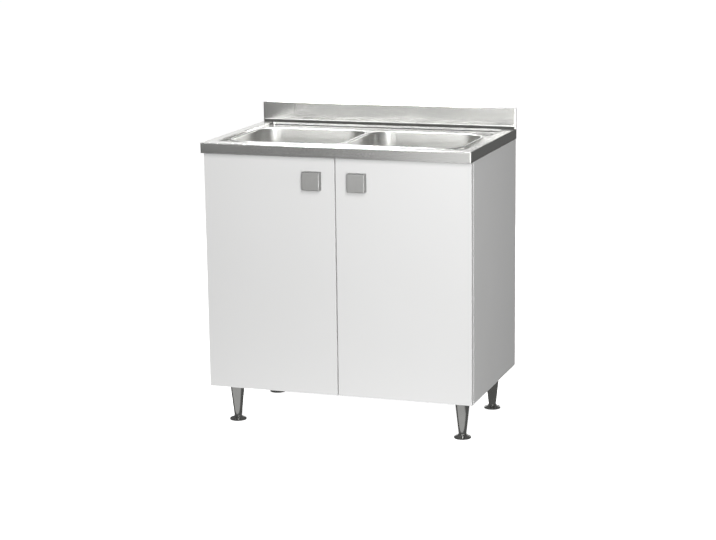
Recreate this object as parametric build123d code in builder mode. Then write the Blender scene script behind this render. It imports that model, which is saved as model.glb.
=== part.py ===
from build123d import *
import math
import os

# A free-standing kitchen sink unit: a pressed stainless double-bowl sink top with a folded upstand
# on a two-door board cabinet, which stands on four conical legs with levelling feet.
# Millimetres. +X to the right, -Y to the front, +Z up. The origin is on the floor, at the middle of
# the space that the unit takes.

# --- Driving dimensions -------------------------------------------------------------------------

# Sink top
top_width = 800.0
top_depth = 500.0
sheet = 1.0
lip_height = 30.0
hem_depth = 9.0
bend_radius = 2.0
lip_corner_radius = 3.0
side_ledge = 32.0
front_ledge = 44.0
rear_ledge = 16.0
recess_depth = 8.5
recess_corner_radius = 14.0
field_margin = 15.0
land_drop = 0.5
land_margin = 8.0
upstand_height = 60.0
upstand_thickness = 6.0
upstand_return = 14.0
upstand_cove = 8.0
upstand_end_radius = 4.0

# Bowls
bowl_length = 296.0
bowl_corner_radius = 66.0
bowl_depth = 150.0
bowl_draft = 2.5
bowl_floor_radius = 28.0
bowl_rim_radius = 4.0
bowl_rim_flat = 0.1
bowl_bridge = 14.0
bowl_setback = 60.0

# Waste fittings
waste_hole_radius = 44.0
waste_cup_radius = 42.0
waste_cup_depth = 36.0
waste_flange_radius = 57.0
waste_flange_thickness = 2.0
waste_flange_bevel = 2.5
waste_outlet_radius = 18.0
gasket_thickness = 3.0
waste_body_wall = 3.0
waste_body_clearance = 0.3
waste_rim_radius = 55.0
waste_cone_height = 10.0
waste_tail_length = 26.0
strainer_clearance = 0.6
strainer_lift_gap = 0.3
strainer_wall = 1.2
strainer_below_floor = 4.0
strainer_depth = 21.0
strainer_bottom_radius = 33.0
strainer_stem_radius = 6.0
strainer_knob_radius = 9.0
strainer_knob_height = 8.0
strainer_seal_radius = 23.0
strainer_seal_thickness = 3.0
strainer_hole_radius = 2.2
strainer_hole_circle_radius = 22.0
strainer_hole_count = 16

# Drain pipes
pipe_radius = 20.0
pipe_wall = 2.0
pipe_bend_radius = 42.0
socket_clearance = 0.2
socket_depth = 12.0
manifold_drop = 60.0
manifold_stub = 25.0
nut_wall = 5.8
nut_height = 20.0
nut_lip = 5.0
nut_flat_count = 10
trap_neck = 24.0
trap_body_radius = 36.0
trap_body_height = 80.0
trap_shoulder = 6.0
trap_wall = 2.5
trap_cup_wall = 5.0
trap_cup_overlap = 14.0
trap_cup_height = 52.0
trap_cup_chamfer = 8.0
trap_outlet_length = 16.0
trap_outlet_drop = 34.0
pipe_mark_depth = 0.3
pipe_mark_width = 1.0
pipe_mark_from_nut = 4.0
dip_tube_radius = 16.0
dip_tube_length = 104.0

# Cabinet
board = 18.0
leg_height = 120.0
side_height = 719.0
side_inset = 2.0
door_front_inset = 18.0
door_gap = 3.0
door_reveal = 1.0
door_stand_off = 2.0
door_head_gap = 3.0
door_edge_radius = 0.8
rail_height = 80.0
back_thickness = 3.0
service_width = 420.0
service_height = 190.0
service_corner_radius = 20.0

# Knobs
knob_size = 52.0
knob_depth = 20.0
knob_edge_radius = 2.0
knob_from_split = 67.0
knob_below_top = 99.0
knob_screw_radius = 2.0
knob_screw_in_knob = 12.0
knob_screw_head_radius = 4.0
knob_screw_head_height = 1.5

# Cup hinges, in plan: u runs inwards from the side panel's outer face, v forwards from its front edge
hinge_end_offset = 95.0
cup_radius = 17.5
cup_wall = 1.0
cup_depth = 12.0
cup_edge_distance = 5.0
cup_flange_thickness = 1.0
cup_flange_rim = 1.0
cup_wing_radius = 7.0
cup_screw_inset = 6.0
cup_screw_span = 48.0
arm_pivot_u = 34.0
arm_pivot_v = 4.0
cup_pivot_u = 14.0
cup_pivot_v = 6.5
hinge_pin_radius = 1.25
hinge_pin_head = 0.3
hinge_running_gap = 0.05
link_eye_radius = 2.6
link_width = 3.6
link_crank = 5.0
link_crank_run = 7.0
link_cheek = 1.5
link_web = 1.2
cheek_gap = 0.2
arm_nose_radius = 3.0
arm_nose_half = 3.8
arm_half_width = 7.0
arm_thickness = 4.0
arm_neck_u = 33.0
arm_neck_v = 7.0
arm_body_u = 28.0
arm_body_start = 14.0
arm_body_end = 60.0
plate_setback = 37.0
plate_wing_half = 7.0
plate_wing_margin = 6.0
plate_wing_thickness = 2.5
plate_wing_corner_radius = 6.0
plate_screw_span = 32.0
plate_block_half = 8.0
plate_block_front = 24.0
plate_block_rear = 66.0
arm_screw_setback = 50.0
hinge_screw_radius = 1.75
hinge_screw_length = 11.0
hinge_screw_head_radius = 3.5
hinge_screw_head_height = 1.0
arm_screw_length = 9.0

# Door bumpers
bumper_radius = 4.0
bumper_gap = 0.3
bumper_inset = 14.0

# Legs and levelling feet
leg_side_inset = 54.0
leg_front_setback = 102.0
leg_rear_setback = 70.0
leg_top_radius = 22.5
leg_bottom_radius = 11.0
leg_plate_size = 64.0
leg_plate_thickness = 3.0
leg_plate_corner_radius = 8.0
leg_screw_offset = 24.0
leg_stud_radius = 5.0
leg_stud_in_board = 9.0
foot_radius = 24.5
foot_height = 11.0
foot_rim = 4.0
foot_collar_radius = 12.5
foot_collar_height = 2.0
foot_stem_radius = 5.0
foot_stem_length = 55.0
foot_gap = 0.3
foot_bore_spare = 4.0
stem_running_gap = 0.05

# Fasteners of the carcass and of the top
wood_screw_radius = 2.0
wood_screw_length = 14.0
wood_screw_head_radius = 4.0
wood_screw_head_height = 2.0
dowel_radius = 4.0
dowel_in_side = 11.0
dowel_in_board = 24.0
cam_radius = 7.5
cam_depth = 12.5
cam_setback = 24.0
cam_bolt_radius = 3.0
cam_bolt_in_side = 11.0
cam_end_distance = 130.0
dowel_from_cam = 24.0
clip_width = 20.0
clip_thickness = 1.5
clip_leg = 30.0
clip_reach = 26.0
clip_screw_drop = 18.0
clip_from_end = 95.0

# --- Places worked out from the dimensions ------------------------------------------------------

knob_overhang = max(0.0, knob_depth - door_front_inset)
back_y = (top_depth + knob_overhang) / 2
front_y = back_y - top_depth
deck_y = front_y + top_depth / 2
door_front_y = front_y + door_front_inset
door_back_y = door_front_y + board
carcass_front_y = door_back_y + door_stand_off
back_panel_y = back_y - back_thickness

side_top_z = leg_height + side_height
top_z = side_top_z + sheet
lip_bottom_z = top_z - lip_height
field_z = top_z - recess_depth
land_z = top_z - land_drop
bottom_top_z = leg_height + board
door_top_z = lip_bottom_z - door_head_gap
rail_top_z = field_z - sheet
rail_z = rail_top_z - rail_height / 2

carcass_half = top_width / 2 - side_inset
inner_half = carcass_half - board
door_outer_x = carcass_half - door_reveal
door_inner_x = door_gap / 2

recess_width = top_width - 2 * side_ledge
recess_length = top_depth - front_ledge - rear_ledge
recess_y = front_y + front_ledge + recess_length / 2
bowl_y = front_y + bowl_setback + bowl_length / 2
land_width = recess_width - 2 * field_margin
bowl_width = (land_width - bowl_bridge) / 2 - land_margin
bowl_x = (bowl_bridge + bowl_width) / 2
land_length = bowl_length + 2 * land_margin
bowl_floor_z = land_z - bowl_depth

waste_cup_floor_z = bowl_floor_z - waste_cup_depth
waste_rim_z = bowl_floor_z - sheet - gasket_thickness
socket_radius = pipe_radius + socket_clearance
socket_outer_radius = socket_radius + waste_body_wall
tail_top_z = waste_cup_floor_z - waste_cone_height
tail_bottom_z = tail_top_z - waste_tail_length
manifold_z = tail_bottom_z - manifold_drop
stub_bottom_z = manifold_z - pipe_radius - manifold_stub
trap_mouth_z = stub_bottom_z + socket_depth
trap_shoulder_z = trap_mouth_z - trap_neck
trap_joint_z = trap_shoulder_z - trap_body_height
trap_bottom_z = trap_joint_z - trap_cup_height
outlet_z = trap_shoulder_z - trap_outlet_drop
outlet_mouth_y = bowl_y + trap_body_radius + trap_outlet_length

hinge_heights = (leg_height + hinge_end_offset, door_top_z - hinge_end_offset)
cup_centre_u = door_reveal + cup_edge_distance + cup_radius
plate_wing_half_height = plate_screw_span / 2 + plate_wing_margin
knob_z = top_z - knob_below_top

leg_x = top_width / 2 - leg_side_inset
leg_front_y = front_y + leg_front_setback
leg_rear_y = back_y - leg_rear_setback
leg_places = {
    "front_left": (-leg_x, leg_front_y),
    "front_right": (leg_x, leg_front_y),
    "rear_left": (-leg_x, leg_rear_y),
    "rear_right": (leg_x, leg_rear_y),
}
leg_bottom_z = foot_height + foot_gap
leg_top_z = leg_height - leg_plate_thickness

LEFT = -1
RIGHT = 1
SIDES = {"left": LEFT, "right": RIGHT}
UP = (0, 0, 1)
DOWN = (0, 0, -1)
FRONT = (0, -1, 0)
REAR = (0, 1, 0)
SAME_LEVEL = 0.01


def at_hinge(side, u, v):
    """The plan point that lies u inwards from a side panel's outer face and v before its front."""
    return (side * (carcass_half - u), carcass_front_y - v)


def inwards(side):
    """The direction from a side panel to the middle of the cabinet."""
    return (-side, 0, 0)


def outwards(side):
    """The direction from the middle of the cabinet to a side panel."""
    return (side, 0, 0)


def rod(start, direction, radius, length, mode=Mode.ADD):
    """A round bar, or with Mode.SUBTRACT a round hole, from a start point along a direction."""
    with Locations(Plane(origin=start, z_dir=direction)):
        Cylinder(radius, length, align=(Align.CENTER, Align.CENTER, Align.MIN), mode=mode)


def screw(seat, direction, radius, length, head_radius, head_height):
    """A screw whose head rests on its seat and whose shank runs along a direction."""
    rod(seat, direction, radius, length)
    rod(seat, Vector(*direction) * -1, head_radius, head_height)


def turn(profile, centre, mode=Mode.ADD):
    """Turn a closed outline of (radius, height) points about a vertical line."""
    plane = Plane(origin=(centre[0], centre[1], 0), x_dir=(1, 0, 0), z_dir=FRONT)
    with BuildSketch(plane) as outline:
        with BuildLine():
            Polyline(profile, close=True)
        make_face()
    revolve(outline.sketch, axis=Axis((centre[0], centre[1], 0), UP), mode=mode)


def plan_bar(start, end, width):
    """A flat bar with round ends between two plan points."""
    middle = ((start[0] + end[0]) / 2, (start[1] + end[1]) / 2)
    angle = math.degrees(math.atan2(end[1] - start[1], end[0] - start[0]))
    with Locations(middle):
        SlotCenterToCenter(math.dist(start, end), width, rotation=angle)


def save(piece, name):
    """Label a finished piece and write it to its own file."""
    piece.part.label = name
    export_step(piece.part, f"parts/{name}.step")


os.makedirs("parts", exist_ok=True)

# --- Sink top -----------------------------------------------------------------------------------

# The top is one folded and pressed sheet. Its outer form is built first, then the room under the
# sheet is taken out, so that every wall is one sheet thick.
with BuildPart() as sink_top:
    with BuildSketch(Plane.XY.offset(lip_bottom_z)) as lip_outline:
        with Locations((0, deck_y)):
            Rectangle(top_width, top_depth)
        fillet(lip_outline.vertices().group_by(Axis.Y)[0], lip_corner_radius)
    extrude(amount=lip_height)
    top_edges = sink_top.faces().sort_by(Axis.Z)[-1].edges()
    fillet(top_edges.filter_by(lambda edge: edge.center().Y < back_y - sheet), bend_radius)
    with BuildSketch(Plane.XY.offset(top_z)):
        with Locations((0, recess_y)):
            RectangleRounded(recess_width, recess_length, recess_corner_radius)
    extrude(amount=-recess_depth, mode=Mode.SUBTRACT)
    with BuildSketch(Plane.XY.offset(field_z)):
        with Locations((0, bowl_y)):
            RectangleRounded(land_width, land_length, bowl_corner_radius + land_margin)
    extrude(amount=recess_depth - land_drop)
    # The recess and the land round the bowls have soft pressed edges.
    field_edges = sink_top.edges().filter_by(
        lambda edge: abs(edge.center().Z - field_z) < SAME_LEVEL and edge.center().Y < back_y - sheet
    )
    fillet(field_edges, bend_radius)
    land_edges = sink_top.edges().filter_by(lambda edge: abs(edge.center().Z - land_z) < SAME_LEVEL)
    fillet(land_edges, bend_radius)
    rim_edges = sink_top.edges().filter_by(
        lambda edge: abs(edge.center().Z - top_z) < SAME_LEVEL
        and abs(edge.center().X) < recess_width / 2 + sheet
        and abs(edge.center().Y - recess_y) < recess_length / 2 + sheet
    )
    fillet(rim_edges, bend_radius)
    # The upstand is a shallow folded channel, closed at both ends and open towards the wall.
    with BuildSketch(Plane.XY.offset(top_z)) as upstand_outline:
        with Locations((0, back_y - upstand_thickness / 2)):
            Rectangle(top_width, upstand_thickness)
        fillet(upstand_outline.vertices().group_by(Axis.Y)[0], upstand_end_radius)
    extrude(amount=upstand_height)
    upstand_top = sink_top.faces().sort_by(Axis.Z)[-1].edges()
    fillet(upstand_top.filter_by(lambda edge: edge.center().Y < back_y - sheet), bend_radius)
    with BuildSketch(Plane.YZ.offset(upstand_end_radius - top_width / 2)):
        with BuildLine():
            cove_foot = (back_y - upstand_thickness, top_z)
            cove_top = (back_y - upstand_thickness, top_z + upstand_cove)
            cove_front = (back_y - upstand_thickness - upstand_cove, top_z)
            Line(cove_front, cove_foot)
            Line(cove_foot, cove_top)
            RadiusArc(cove_top, cove_front, upstand_cove)
        make_face()
    extrude(amount=top_width - 2 * upstand_end_radius)
    # Room behind the upstand's face, up to the return at its top.
    with BuildSketch(Plane.XY.offset(top_z)) as channel:
        with Locations((0, back_y - (upstand_thickness - sheet) / 2)):
            Rectangle(top_width - 2 * sheet, upstand_thickness - sheet)
        fillet(channel.vertices().group_by(Axis.Y)[0], upstand_end_radius - sheet)
    extrude(amount=upstand_height - upstand_return, mode=Mode.SUBTRACT)
    with BuildSketch(Plane.XY.offset(top_z + upstand_height - upstand_return)) as fold_room:
        with Locations((0, back_y - upstand_thickness / 2)):
            Rectangle(top_width - 2 * sheet, upstand_thickness - 2 * sheet)
        fillet(fold_room.vertices().group_by(Axis.Y)[0], upstand_end_radius - 2 * sheet)
    extrude(amount=upstand_return - sheet, mode=Mode.SUBTRACT)
    # Room under the ledges and the field, open at the back. The front keeps a turned-in hem.
    with BuildSketch(Plane.XY.offset(lip_bottom_z + sheet)):
        with Locations((0, deck_y + sheet)):
            Rectangle(top_width - 2 * sheet, top_depth)
    extrude(amount=field_z - 2 * sheet - lip_bottom_z, mode=Mode.SUBTRACT)
    with BuildSketch(Plane.XY.offset(lip_bottom_z)):
        with Locations((0, deck_y + sheet + hem_depth)):
            Rectangle(top_width - 2 * sheet, top_depth)
    extrude(amount=sheet, mode=Mode.SUBTRACT)
    with BuildSketch(Plane.XY.offset(field_z - sheet)):
        with Locations((0, deck_y + sheet)):
            Rectangle(top_width - 2 * sheet, top_depth)
        with Locations((0, recess_y)):
            RectangleRounded(
                recess_width + 2 * sheet,
                recess_length + 2 * sheet,
                recess_corner_radius + sheet,
                mode=Mode.SUBTRACT,
            )
    extrude(amount=recess_depth, mode=Mode.SUBTRACT)
    with BuildSketch(Plane.XY.offset(field_z - sheet)):
        with Locations((0, bowl_y)):
            RectangleRounded(
                land_width - 2 * sheet,
                land_length - 2 * sheet,
                bowl_corner_radius + land_margin - sheet,
            )
    extrude(amount=recess_depth - land_drop, mode=Mode.SUBTRACT)
    # The bowls are welded into these two openings.
    with BuildSketch(Plane.XY.offset(land_z)):
        with Locations((-bowl_x, bowl_y), (bowl_x, bowl_y)):
            RectangleRounded(
                bowl_width + 2 * bowl_rim_radius,
                bowl_length + 2 * bowl_rim_radius,
                bowl_corner_radius + bowl_rim_radius,
            )
    extrude(amount=-recess_depth, mode=Mode.SUBTRACT)

save(sink_top, "sink_top")

# --- Bowls --------------------------------------------------------------------------------------


def bowl_outline(centre_x, growth):
    """The bowl's plan outline, grown by a distance all round."""
    with Locations((centre_x, bowl_y)):
        outline = RectangleRounded(
            bowl_width + 2 * growth, bowl_length + 2 * growth, bowl_corner_radius + growth
        )
    return outline


def bowl_form(centre_x, growth):
    """The drafted, round-bottomed block that fills the bowl, grown by a distance."""
    with BuildPart(mode=Mode.PRIVATE) as form:
        with BuildSketch(Plane.XY.offset(land_z)):
            bowl_outline(centre_x, growth)
        extrude(amount=-(bowl_depth + growth), taper=bowl_draft)
        fillet(form.faces().sort_by(Axis.Z)[0].edges(), bowl_floor_radius + growth)
    return form.part


def make_bowl(centre_x):
    """A deep-drawn bowl with a rounded rim, drafted walls and a waste hole in its floor."""
    with BuildPart() as bowl:
        add(bowl_form(centre_x, sheet))
        with BuildSketch(Plane.XY.offset(land_z)):
            bowl_outline(centre_x, bowl_rim_radius)
        extrude(amount=-sheet)
        under_face = bowl.faces().filter_by(
            lambda face: abs(face.center().Z - (land_z - sheet)) < SAME_LEVEL
        )[0]
        fillet(under_face.inner_wires()[0].edges(), bowl_rim_radius - sheet - bowl_rim_flat)
        add(bowl_form(centre_x, 0), mode=Mode.SUBTRACT)
        top_face = bowl.faces().sort_by(Axis.Z)[-1]
        fillet(top_face.inner_wires()[0].edges(), bowl_rim_radius - bowl_rim_flat)
        with BuildSketch(Plane.XY.offset(bowl_floor_z)):
            with Locations((centre_x, bowl_y)):
                Circle(waste_hole_radius)
        extrude(amount=-sheet, mode=Mode.SUBTRACT)
    return bowl


bowl_places = {name: (side * bowl_x, bowl_y) for name, side in SIDES.items()}
for name, place in bowl_places.items():
    save(make_bowl(place[0]), f"{name}_bowl")

# --- Waste fittings of each bowl ----------------------------------------------------------------


def make_waste_flange(centre):
    """The stainless cup whose flange lies on the bowl's floor, with an outlet in its bottom."""
    inner_radius = waste_cup_radius - sheet
    flange_top_z = bowl_floor_z + waste_flange_thickness
    with BuildPart() as flange:
        turn(
            [
                (waste_flange_radius, bowl_floor_z),
                (waste_flange_radius - waste_flange_bevel, flange_top_z),
                (waste_cup_radius, flange_top_z),
                (inner_radius, bowl_floor_z - sheet),
                (inner_radius, waste_cup_floor_z + sheet),
                (waste_outlet_radius, waste_cup_floor_z + sheet),
                (waste_outlet_radius, waste_cup_floor_z),
                (waste_cup_radius, waste_cup_floor_z),
                (waste_cup_radius, bowl_floor_z),
            ],
            centre,
        )
    return flange


def make_gasket(centre):
    """The rubber ring between the bowl's underside and the waste body."""
    with BuildPart() as gasket:
        start = (centre[0], centre[1], waste_rim_z)
        rod(start, UP, waste_rim_radius, gasket_thickness)
        rod(start, UP, waste_hole_radius, gasket_thickness, Mode.SUBTRACT)
    return gasket


def make_waste_body(centre):
    """The moulded body that holds the cup from below and ends in a pipe socket."""
    bore_radius = waste_cup_radius + waste_body_clearance
    outer_radius = bore_radius + waste_body_wall
    socket_top_z = tail_bottom_z + socket_depth
    with BuildPart() as body:
        turn(
            [
                (bore_radius, waste_rim_z),
                (waste_rim_radius, waste_rim_z),
                (waste_rim_radius, waste_rim_z - waste_body_wall),
                (outer_radius, waste_rim_z - waste_body_wall),
                (outer_radius, waste_cup_floor_z),
                (socket_outer_radius, tail_top_z),
                (socket_outer_radius, tail_bottom_z),
                (socket_radius, tail_bottom_z),
                (socket_radius, socket_top_z),
                (waste_outlet_radius, socket_top_z),
                (waste_outlet_radius, waste_cup_floor_z),
                (bore_radius, waste_cup_floor_z),
            ],
            centre,
        )
    return body


def make_strainer(centre):
    """The lift-out basket: a holed dish with a pull knob above and a sealing disc below."""
    rim_radius = waste_cup_radius - sheet - strainer_clearance
    rim_z = bowl_floor_z - strainer_below_floor
    floor_z = rim_z - strainer_depth
    seal_z = waste_cup_floor_z + sheet + strainer_lift_gap
    knob_base_z = rim_z - strainer_knob_height / 2
    with BuildPart() as strainer:
        turn(
            [
                (rim_radius, rim_z),
                (strainer_bottom_radius, floor_z),
                (0, floor_z),
                (0, floor_z + strainer_wall),
                (strainer_bottom_radius - strainer_wall, floor_z + strainer_wall),
                (rim_radius - strainer_wall, rim_z),
            ],
            centre,
        )
        with BuildSketch(Plane.XY.offset(floor_z)):
            with Locations(centre):
                with PolarLocations(strainer_hole_circle_radius, strainer_hole_count):
                    Circle(strainer_hole_radius)
        extrude(amount=strainer_wall, mode=Mode.SUBTRACT)
        stem_top_z = knob_base_z + strainer_knob_height / 2
        rod((centre[0], centre[1], seal_z), UP, strainer_stem_radius, stem_top_z - seal_z)
        rod((centre[0], centre[1], seal_z), UP, strainer_seal_radius, strainer_seal_thickness)
        rod((centre[0], centre[1], knob_base_z), UP, strainer_knob_radius, strainer_knob_height)
    return strainer


for name, place in bowl_places.items():
    save(make_waste_flange(place), f"{name}_waste_flange")
    save(make_gasket(place), f"{name}_waste_gasket")
    save(make_waste_body(place), f"{name}_waste_body")
    save(make_strainer(place), f"{name}_basket_strainer")

# --- Drain pipes --------------------------------------------------------------------------------

# One bent pipe joins both wastes, with a stub in its middle that drops into the bottle trap.
pipe_top_z = tail_bottom_z + socket_depth
with BuildPart() as drain_manifold:
    for radius, mode in ((pipe_radius, Mode.ADD), (pipe_radius - pipe_wall, Mode.SUBTRACT)):
        with BuildLine() as route:
            FilletPolyline(
                (-bowl_x, bowl_y, pipe_top_z),
                (-bowl_x, bowl_y, manifold_z),
                (bowl_x, bowl_y, manifold_z),
                (bowl_x, bowl_y, pipe_top_z),
                radius=pipe_bend_radius,
            )
        with BuildSketch(Plane(origin=route.line @ 0, z_dir=route.line % 0)) as section:
            Circle(radius)
        sweep(section.sketch, path=route.line, mode=mode)
        if mode == Mode.ADD:
            rod((0, bowl_y, manifold_z), DOWN, radius, manifold_z - stub_bottom_z)
    rod(
        (0, bowl_y, manifold_z),
        DOWN,
        pipe_radius - pipe_wall,
        manifold_z - stub_bottom_z,
        Mode.SUBTRACT,
    )
save(drain_manifold, "drain_manifold")

# The bottle trap has an upper body with a side outlet, a screwed cup below and a dip tube inside.
bore_radius = trap_body_radius - trap_wall
trap_centre = (0, bowl_y)
with BuildPart() as trap_body:
    turn(
        [
            (0, trap_mouth_z),
            (socket_outer_radius, trap_mouth_z),
            (socket_outer_radius, trap_shoulder_z + trap_shoulder),
            (trap_body_radius, trap_shoulder_z),
            (trap_body_radius, trap_joint_z),
            (0, trap_joint_z),
        ],
        trap_centre,
    )
    outlet_length = trap_body_radius + trap_outlet_length
    rod((0, bowl_y, outlet_z), REAR, socket_outer_radius, outlet_length)
    turn(
        [
            (0, trap_mouth_z),
            (socket_radius, trap_mouth_z),
            (socket_radius, trap_mouth_z - socket_depth),
            (dip_tube_radius, trap_mouth_z - socket_depth),
            (dip_tube_radius, trap_shoulder_z + trap_shoulder - trap_wall),
            (bore_radius, trap_shoulder_z - trap_wall),
            (bore_radius, trap_joint_z),
            (0, trap_joint_z),
        ],
        trap_centre,
        Mode.SUBTRACT,
    )
    rod((0, bowl_y, outlet_z), REAR, pipe_radius - pipe_wall, outlet_length, Mode.SUBTRACT)
    rod((0, outlet_mouth_y, outlet_z), FRONT, socket_radius, socket_depth, Mode.SUBTRACT)
save(trap_body, "trap_body")

with BuildPart() as trap_cup:
    cup_outer_radius = trap_body_radius + trap_cup_wall
    turn(
        [
            (trap_body_radius, trap_joint_z + trap_cup_overlap),
            (cup_outer_radius, trap_joint_z + trap_cup_overlap),
            (cup_outer_radius, trap_bottom_z + trap_cup_chamfer),
            (cup_outer_radius - trap_cup_chamfer, trap_bottom_z),
            (0, trap_bottom_z),
            (0, trap_bottom_z + trap_wall),
            (bore_radius - trap_cup_chamfer, trap_bottom_z + trap_wall),
            (bore_radius, trap_bottom_z + trap_wall + trap_cup_chamfer),
            (bore_radius, trap_joint_z),
            (trap_body_radius, trap_joint_z),
        ],
        trap_centre,
    )
save(trap_cup, "trap_cup")

with BuildPart() as dip_tube:
    tube_top_z = trap_mouth_z - socket_depth
    rod((0, bowl_y, tube_top_z), DOWN, dip_tube_radius, dip_tube_length)
    rod((0, bowl_y, tube_top_z), DOWN, dip_tube_radius - pipe_wall, dip_tube_length, Mode.SUBTRACT)
save(dip_tube, "dip_tube")

with BuildPart() as outlet_pipe:
    outlet_start_y = outlet_mouth_y - socket_depth
    start = (0, outlet_start_y, outlet_z)
    rod(start, REAR, pipe_radius, back_y - outlet_start_y)
    # A fine groove marks how deep the pipe goes into its socket.
    mark = (0, outlet_mouth_y + nut_lip + pipe_mark_from_nut, outlet_z)
    rod(mark, REAR, pipe_radius, pipe_mark_width, Mode.SUBTRACT)
    rod(mark, REAR, pipe_radius - pipe_mark_depth, pipe_mark_width)
    rod(start, REAR, pipe_radius - pipe_wall, back_y - outlet_start_y, Mode.SUBTRACT)
save(outlet_pipe, "outlet_pipe")

# Each pipe is held in its socket by a flatted nut that grips both.
mouths = [
    ((-bowl_x, bowl_y, tail_bottom_z), UP),
    ((bowl_x, bowl_y, tail_bottom_z), UP),
    ((0, bowl_y, trap_mouth_z), DOWN),
    ((0, outlet_mouth_y, outlet_z), FRONT),
]
with BuildPart() as slip_nuts:
    for mouth, direction in mouths:
        start = Vector(*mouth) - Vector(*direction) * nut_lip
        with BuildSketch(Plane(origin=start, z_dir=direction)) as flats:
            RegularPolygon(socket_outer_radius + nut_wall, nut_flat_count)
        extrude(flats.sketch, amount=nut_height)
        rod(start, direction, pipe_radius, nut_height, Mode.SUBTRACT)
        rod(mouth, direction, socket_outer_radius, nut_height, Mode.SUBTRACT)
save(slip_nuts, "slip_nuts")

# --- Carcass ------------------------------------------------------------------------------------

# The boards are joined by eccentric cams with bolts and by wooden dowels. Each row gives where the
# bolt's line meets the side panels (y, z), the cam's direction, and the dowel's offset from the bolt.
rear_rail_y = back_panel_y - board / 2
cam_places = [
    (carcass_front_y + cam_end_distance, leg_height + board / 2, UP, REAR),
    (back_panel_y - cam_end_distance, leg_height + board / 2, UP, FRONT),
    (carcass_front_y + board / 2, rail_z, FRONT, DOWN),
    (rear_rail_y, rail_z, REAR, DOWN),
]


def drill_connectors(side):
    """The holes for the cams, the bolts and the dowels of one side of the cabinet."""
    for y, z, cam_direction, dowel_offset in cam_places:
        seam = Vector(side * inner_half, y, z)
        cam_centre = seam + Vector(*inwards(side)) * cam_setback
        cam_face = cam_centre - Vector(*cam_direction) * (board / 2)
        rod(cam_face, cam_direction, cam_radius, cam_depth, Mode.SUBTRACT)
        rod(seam, outwards(side), cam_bolt_radius, cam_bolt_in_side, Mode.SUBTRACT)
        rod(seam, inwards(side), cam_bolt_radius, cam_setback, Mode.SUBTRACT)
        dowel_seam = seam + Vector(*dowel_offset) * dowel_from_cam
        rod(dowel_seam, outwards(side), dowel_radius, dowel_in_side, Mode.SUBTRACT)
        rod(dowel_seam, inwards(side), dowel_radius, dowel_in_board, Mode.SUBTRACT)


def upright_board(width, depth, height, centre, bottom_z):
    """A board from its plan size, its height, its plan centre and its bottom level."""
    with BuildSketch(Plane.XY.offset(bottom_z)) as plan:
        with Locations(centre):
            Rectangle(width, depth)
    extrude(plan.sketch, amount=height)


clip_ys = (carcass_front_y + clip_from_end, back_y - clip_from_end)
clip_screw_z = rail_top_z - clip_screw_drop
plate_screw_offsets = (-plate_screw_span / 2, plate_screw_span / 2)


def make_side_panel(side):
    """One side of the carcass, drilled for the connectors, the hinge plates and the top's clips."""
    with BuildPart() as panel:
        middle = (side * (carcass_half - board / 2), (carcass_front_y + back_y) / 2)
        upright_board(board, back_y - carcass_front_y, side_height, middle, leg_height)
        drill_connectors(side)
        inner_x = side * inner_half
        for z in hinge_heights:
            for offset in plate_screw_offsets:
                start = (inner_x, carcass_front_y + plate_setback, z + offset)
                depth = hinge_screw_length - plate_wing_thickness
                rod(start, outwards(side), hinge_screw_radius, depth, Mode.SUBTRACT)
        for y in clip_ys:
            depth = wood_screw_length - clip_thickness
            start = (inner_x, y, clip_screw_z)
            rod(start, outwards(side), wood_screw_radius, depth, Mode.SUBTRACT)
    return panel


for name, side in SIDES.items():
    save(make_side_panel(side), f"{name}_side_panel")

# The bottom board carries the legs: each has a stud hole and four screw holes under it.
leg_screw_offsets = (-leg_screw_offset, leg_screw_offset)
with BuildPart() as bottom_panel:
    middle = (0, (carcass_front_y + back_panel_y) / 2)
    upright_board(2 * inner_half, back_panel_y - carcass_front_y, board, middle, leg_height)
    for side in SIDES.values():
        drill_connectors(side)
    for x, y in leg_places.values():
        rod((x, y, leg_height), UP, leg_stud_radius, leg_stud_in_board, Mode.SUBTRACT)
        for dx in leg_screw_offsets:
            for dy in leg_screw_offsets:
                depth = wood_screw_length - leg_plate_thickness
                start = (x + dx, y + dy, leg_height)
                rod(start, UP, wood_screw_radius, depth, Mode.SUBTRACT)
save(bottom_panel, "bottom_panel")

for name, y in (("front_rail", carcass_front_y + board / 2), ("rear_rail", rear_rail_y)):
    with BuildPart() as rail:
        upright_board(2 * inner_half, board, rail_height, (0, y), rail_top_z - rail_height)
        for side in SIDES.values():
            drill_connectors(side)
    save(rail, name)

# The thin back has a cut-out for the taps' supplies and the drain.
with BuildPart() as back_panel:
    middle = (0, back_y - back_thickness / 2)
    upright_board(2 * inner_half, back_thickness, rail_top_z - leg_height, middle, leg_height)
    with BuildSketch(Plane(origin=(0, back_y, outlet_z), x_dir=(1, 0, 0), z_dir=FRONT)):
        RectangleRounded(service_width, service_height, service_corner_radius)
    extrude(amount=back_thickness, mode=Mode.SUBTRACT)
save(back_panel, "back_panel")

with BuildPart() as cam_connectors:
    for side in SIDES.values():
        for y, z, cam_direction, dowel_offset in cam_places:
            seam = Vector(side * inner_half, y, z)
            cam_centre = seam + Vector(*inwards(side)) * cam_setback
            cam_face = cam_centre - Vector(*cam_direction) * (board / 2)
            rod(cam_face, cam_direction, cam_radius, cam_depth)
            bolt_end = seam + Vector(*outwards(side)) * cam_bolt_in_side
            rod(bolt_end, inwards(side), cam_bolt_radius, cam_bolt_in_side + cam_setback)
save(cam_connectors, "cam_connectors")

with BuildPart() as dowels:
    for side in SIDES.values():
        for y, z, cam_direction, dowel_offset in cam_places:
            seam = Vector(side * inner_half, y, z) + Vector(*dowel_offset) * dowel_from_cam
            dowel_end = seam + Vector(*outwards(side)) * dowel_in_side
            rod(dowel_end, inwards(side), dowel_radius, dowel_in_side + dowel_in_board)
save(dowels, "dowels")

# --- Clips that hold the sink top to the sides --------------------------------------------------

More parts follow.
